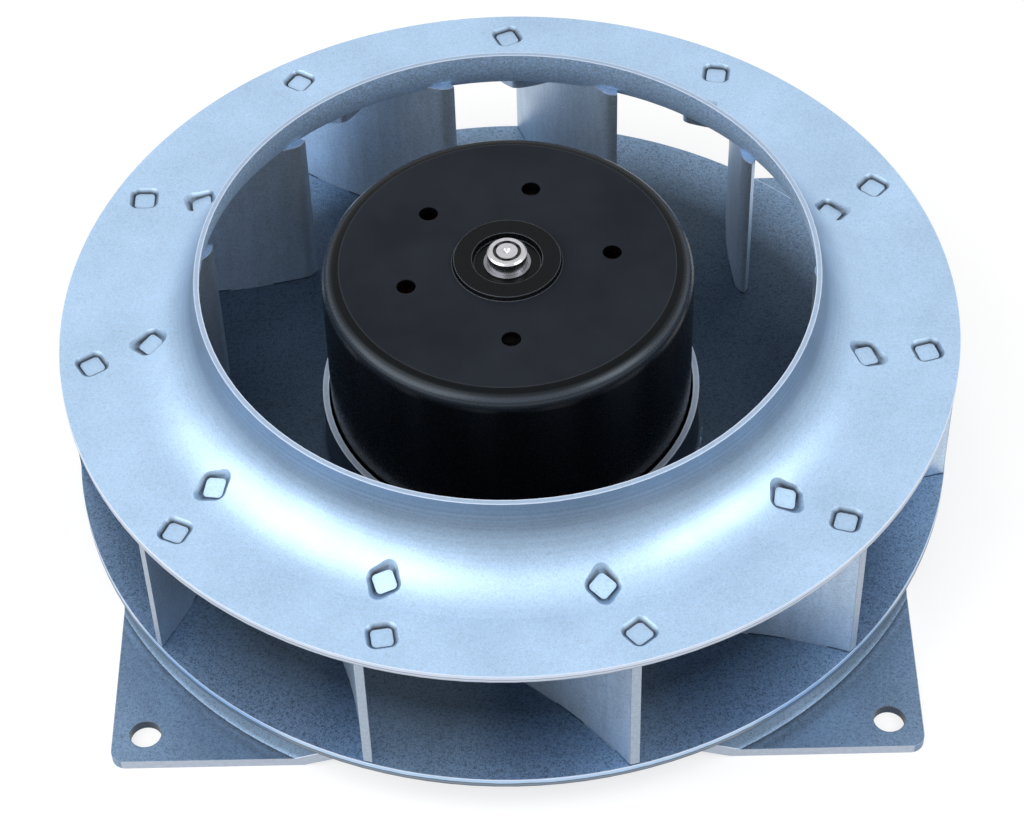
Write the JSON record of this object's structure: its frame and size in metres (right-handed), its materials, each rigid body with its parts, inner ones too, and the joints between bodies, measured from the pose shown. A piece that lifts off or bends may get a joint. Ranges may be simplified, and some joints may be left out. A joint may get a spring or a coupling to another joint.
{
  "type": "centrifugal fan",
  "caption": "Backward-curved centrifugal fan wheel of galvanised sheet on an external-rotor motor, standing on a square mounting plate with corner holes.",
  "frame": {"origin": "middle of the mounting plate's underside, on the wheel's axis", "axes": "+Z along the wheel's axis towards the inlet; X and Y square to the mounting plate's sides"},
  "size_m": [0.25, 0.25, 0.0839],
  "materials": {
    "galvanised_sheet": "satin",
    "black_rotor": "satin",
    "bright_steel": "polished",
    "electrical_steel": "matte",
    "cast_aluminium": "satin",
    "copper_winding": "gloss",
    "insulator_plastic": "matte",
    "rubber": "matte"
  },
  "bodies": {
    "motor_base": {"mounting_plate": "galvanised_sheet", "motor_flange": "cast_aluminium", "flange_screws": "bright_steel", "lead_grommet": "rubber", "bearing_cap": "bright_steel", "lower_bearing": "bright_steel", "upper_bearing": "bright_steel", "preload_washer": "bright_steel", "stator_core": "electrical_steel", "lower_insulator": "insulator_plastic", "upper_insulator": "insulator_plastic", "stator_winding": "copper_winding"},
    "fan_wheel": {"rotor_cup": "black_rotor", "back_plate": "galvanised_sheet", "shroud": "galvanised_sheet", "blade_01": "galvanised_sheet", "blade_02": "galvanised_sheet", "blade_03": "galvanised_sheet", "blade_04": "galvanised_sheet", "blade_05": "galvanised_sheet", "blade_06": "galvanised_sheet", "blade_07": "galvanised_sheet", "blade_08": "galvanised_sheet", "blade_09": "galvanised_sheet", "blade_10": "galvanised_sheet", "blade_11": "galvanised_sheet", "rotor_core": "electrical_steel", "rotor_cage": "cast_aluminium", "shaft": "bright_steel", "hub_bush": "bright_steel", "hub_ring": "bright_steel", "shaft_circlip": "bright_steel", "lower_bearing_inner_ring": "bright_steel", "upper_bearing_inner_ring": "bright_steel"}
  },
  "joints": [
    {"name": "wheel_spin", "type": "hinge", "parent": "motor_base", "child": "fan_wheel", "pos_m": [0, 0, 0.0385], "axis": [0, 0, 1], "continuous": true}
  ]
}
